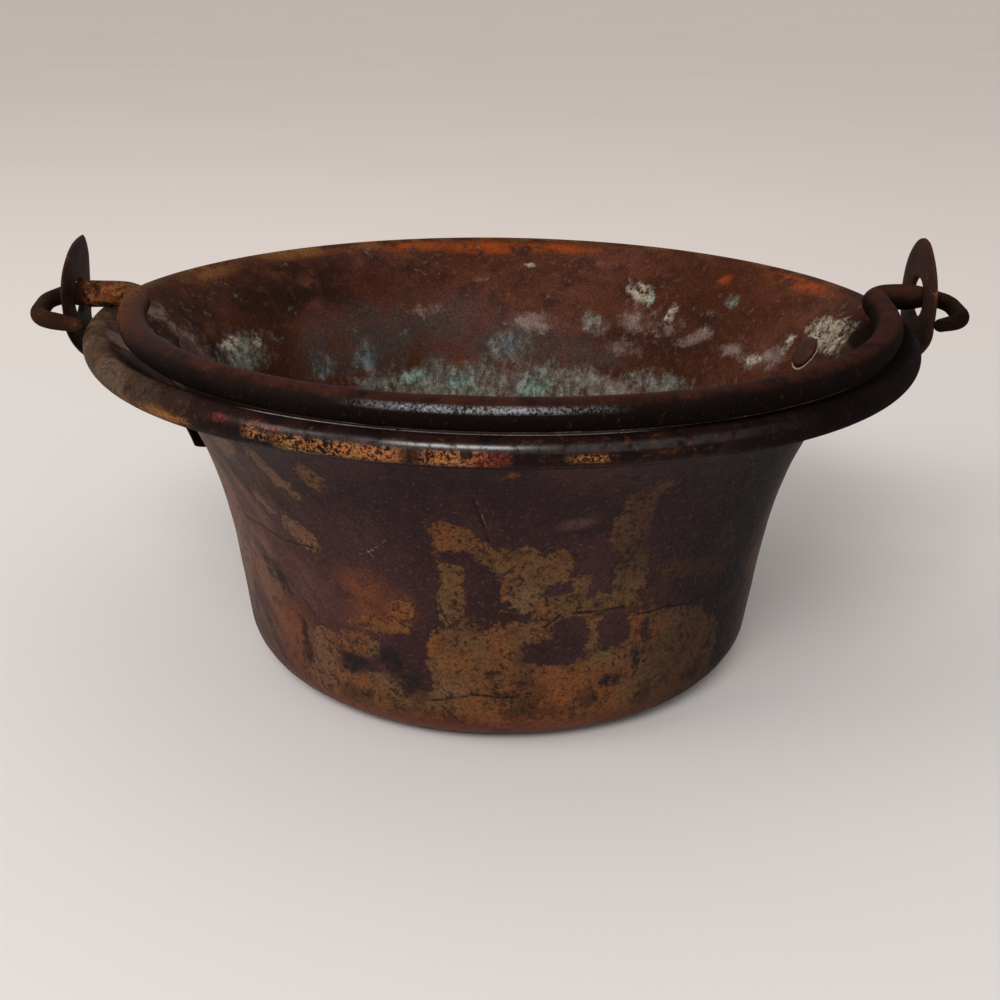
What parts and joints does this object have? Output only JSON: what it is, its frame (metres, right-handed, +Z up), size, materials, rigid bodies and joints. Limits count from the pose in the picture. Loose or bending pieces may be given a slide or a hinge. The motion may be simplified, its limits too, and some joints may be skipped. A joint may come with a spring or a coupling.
{
  "type": "cauldron",
  "caption": "Hand-hammered copper cauldron with a flared rim rolled over a wire, riveted iron ears and a swinging iron bail.",
  "frame": {"origin": "middle of the flat base, on the surface that the cauldron stands on", "axes": "+Z up along the vessel's axis, X through both ears, with the bail lying towards -Y at rest"},
  "size_m": [0.2914, 0.26, 0.1366],
  "materials": {
    "copper": "hammered copper under a worn dark brown patina",
    "iron": "forged, dark and lightly rusted"
  },
  "bodies": {
    "vessel": {"copper_vessel": "copper", "rim_wire": "iron", "left_ear": "iron", "left_ear_front_rivet": "copper", "left_ear_back_rivet": "copper", "left_ear_lower_rivet": "copper", "right_ear": "iron", "right_ear_front_rivet": "copper", "right_ear_back_rivet": "copper", "right_ear_lower_rivet": "copper"},
    "bail": {"bail": "iron"}
  },
  "joints": [
    {"name": "bail_swing", "type": "hinge", "parent": "vessel", "child": "bail", "pos_m": [0, 0, 0.1176], "axis": [-1, 0, 0], "range_deg": [0, 180]}
  ]
}
